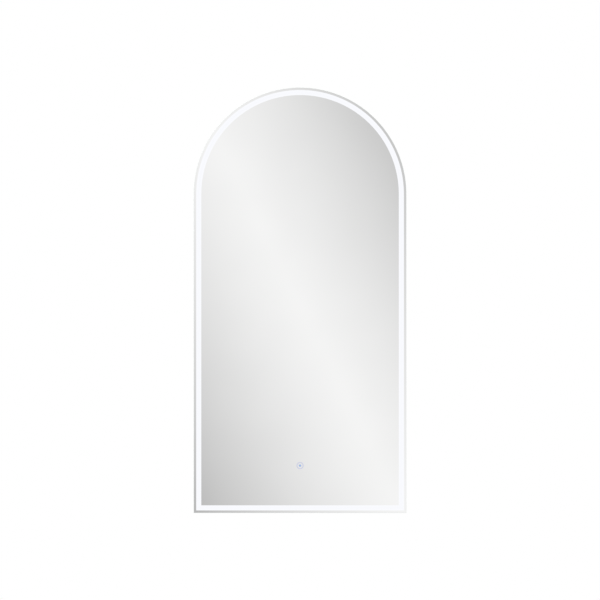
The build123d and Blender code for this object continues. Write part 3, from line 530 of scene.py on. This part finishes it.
def make_finishes():
    """One material for each of the record's slots."""
    return {
        "white_lacquer": lacquer(),
        "white_panel": white_panel(),
        "batten_board": batten_board(),
        "beech": beech(),
        "mirror_silver": mirror("mirror_silver", to_front),
        "lit_frost": lit_frost(),
        "button_frost": button_frost(),
        "shelf_glass": shelf_glass(),
        "lamp_strip": lamp_strip(),
        "clear_silicone": clear_silicone(),
        **{name: metal(name, **look) for name, look in metal_looks.items()},
        **{name: moulded(name, **look) for name, look in moulded_looks.items()},
    }


def dress(node, material):
    """Gives all of a node's surfaces one material."""
    for material_slot in frame["nodes"][node].material_slots:
        material_slot.material = material


def dress_nodes(finishes):
    """Gives every node that came from the solids its slot's material."""
    for part in frame["record"]["subparts"]:
        dress(part["node"], finishes[part["material_slot"]])
    dress("inner_mirror", mirror("mirror_silver_inside", to_wall))


def place_mesh(name, mesh):
    """Puts a finished bmesh into the scene as an object."""
    data = bpy.data.meshes.new(name)
    mesh.to_mesh(data)
    mesh.free()
    piece = bpy.data.objects.new(name, data)
    scene.collection.objects.link(piece)
    return piece


def route_line(name, route):
    """Points along one smooth spline that has the route's points as its control points."""
    data = bpy.data.curves.new(name + "_line", "CURVE")
    data.dimensions = "3D"
    data.resolution_u = lead_steps
    spline = data.splines.new("NURBS")
    spline.points.add(len(route) - 1)
    for point, place in zip(spline.points, route):
        point.co = (*place, 1.0)
    spline.order_u = lead_order
    spline.use_endpoint_u = True
    carrier = bpy.data.objects.new(name + "_line", data)
    scene.collection.objects.link(carrier)
    line = bpy.data.meshes.new_from_object(carrier)
    points = [vertex.co.copy() for vertex in line.vertices]
    bpy.data.objects.remove(carrier)
    bpy.data.meshes.remove(line)
    return points


def tube(name, line, radius, sides):
    """Closed round tube along a line of points."""
    mesh = bmesh.new()
    rings = []
    side = Vector((0, 0, 1))
    last = len(line) - 1
    for index, centre in enumerate(line):
        ahead = (line[min(index + 1, last)] - line[max(index - 1, 0)]).normalized()
        side = (side - ahead * side.dot(ahead)).normalized()
        other = ahead.cross(side)
        turns = [2 * math.pi * step / sides for step in range(sides)]
        ring = [centre + radius * (side * math.cos(a) + other * math.sin(a)) for a in turns]
        rings.append([mesh.verts.new(place) for place in ring])
    for first, second in zip(rings, rings[1:]):
        for step in range(sides):
            after = (step + 1) % sides
            mesh.faces.new((first[step], first[after], second[after], second[step]))
    mesh.faces.new(reversed(rings[0]))
    mesh.faces.new(rings[-1])
    bmesh.ops.recalc_face_normals(mesh, faces=mesh.faces)
    for face in mesh.faces:
        face.smooth = len(face.verts) == 4
    return place_mesh(name, mesh)


def make_lead(finishes):
    """The lamp's lead as one smooth, fixed tube, which takes the place of the solids' lead. The
    real one bends between its last clip and the door.
    """
    lead = tube("lamp_lead_smooth", route_line("lamp_lead", lead_route), lead_radius, lead_sides)
    lead.data.materials.append(finishes["wire_white"])
    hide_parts("lamp_lead")
    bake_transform(lead)


def floor_finish():
    """Pale matt floor that clears towards its rim and glows a little wherever it is seen."""
    material, n = new_material("floor")
    x, y, _ = n.split(n.place())
    fade = n.ramp(n.length(x, y), floor_fade_start, floor_radius)
    path = n.add("LightPath").outputs
    seen = n.math("MAXIMUM", path["Is Camera Ray"], path["Is Glossy Ray"])
    seen = n.math("MAXIMUM", seen, path["Is Transmission Ray"])
    inputs = {
        "Base Color": n.mix(n.noise(30, detail=4), (0.66, 0.66, 0.655, 1), (0.68, 0.68, 0.675, 1)),
        "Roughness": n.noise(90, spread=(0.7, 0.85)),
        "Specular IOR Level": 0.2,
        "Emission Color": (1, 1, 1, 1),
        "Emission Strength": n.math("MULTIPLY", seen, floor_glow),
    }
    solid = n.add("BsdfPrincipled", inputs).outputs[0]
    clear = n.add("BsdfTransparent").outputs[0]
    faded = n.add("MixShader", {0: fade, 1: solid, 2: clear}).outputs[0]
    n.add("OutputMaterial", {"Surface": faded})
    return material


def make_floor():
    """Round floor below the object."""
    mesh = bmesh.new()
    bmesh.ops.create_circle(mesh, cap_ends=True, radius=floor_radius, segments=floor_sides)
    floor = place_mesh("floor", mesh)
    floor.location = (0, 0, cad_box[0][2] - floor_drop)
    floor.data.materials.append(floor_finish())


def room_light(n, x, y, z):
    """What a reflected ray in this direction sees of the studio."""
    slanting = n.math("MULTIPLY_ADD", z, sheen_slant, x)
    slope = n.math("ADD", slanting, sheen_shift)
    rounded = n.math("SQRT", n.math("MULTIPLY_ADD", slope, slope, sheen_softness**2))
    offset = n.math("MINIMUM", n.math("SUBTRACT", rounded, sheen_softness), sheen_widest)
    falling = n.math("MULTIPLY_ADD", offset, -sheen_curve, -sheen_fall)
    sheen = n.math("MULTIPLY_ADD", offset, falling, sheen_peak)
    room = n.math("MULTIPLY_ADD", z, room_rise, room_level)
    wave = n.math("SINE", n.math("MULTIPLY", slanting, 2 * math.pi * waves_per_slope))
    room = n.math("MULTIPLY_ADD", wave, wave_height, room)
    room = n.math("ADD", room, n.ramp(z, ceiling_start, ceiling_end, 0.0, ceiling_gain))
    ahead = n.ramp(n.math("MULTIPLY", y, -1.0), sheen_start, sheen_full)
    return n.mix_number(ahead, room, sheen)


def make_world():
    """White behind the object. What mirrors and metal see is a soft room with a slanting sheen."""
    world = bpy.data.worlds.new("studio")
    world.use_nodes = True
    scene.world = world
    n = Nodes(world.node_tree)
    x, y, z = n.split(n.add("TexCoord").outputs["Generated"])
    reflected = n.math("DIVIDE", room_light(n, x, y, z), mirror_reflectance)
    ambient = n.math("MULTIPLY_ADD", z, ambient_rise, ambient_level)
    path = n.add("LightPath").outputs
    seen = n.math("MAXIMUM", path["Is Camera Ray"], path["Is Transmission Ray"])
    level = n.mix_number(path["Is Glossy Ray"], ambient, reflected)
    level = n.mix_number(seen, level, backdrop_level)
    background = n.add("Background", {"Color": (1, 1, 1, 1), "Strength": level})
    n.add("OutputWorld", {"Surface": background.outputs[0]})


def area_light(name, place, aim, width, watts):
    """Soft square light at place that points at aim. No reflection shows it."""
    data = bpy.data.lights.new(name, "AREA")
    data.size = width
    data.energy = watts
    light = bpy.data.objects.new(name, data)
    light.visible_glossy = False
    light.location = place
    light.rotation_euler = (aim - Vector(place)).to_track_quat("-Z", "Y").to_euler()
    scene.collection.objects.link(light)


place_camera()
make_world()
make_floor()
for light_name, (place, width, watts) in studio_lights.items():
    area_light(light_name, place, glass_middle, width, watts)

finishes = make_finishes()
dress_nodes(finishes)
make_lead(finishes)

scene.view_settings.view_transform = "Standard"
scene.cycles.use_denoising = True
scene.cycles.transparent_max_bounces = light_bounces
scene.cycles.transmission_bounces = light_bounces
scene.cycles.max_bounces = light_bounces
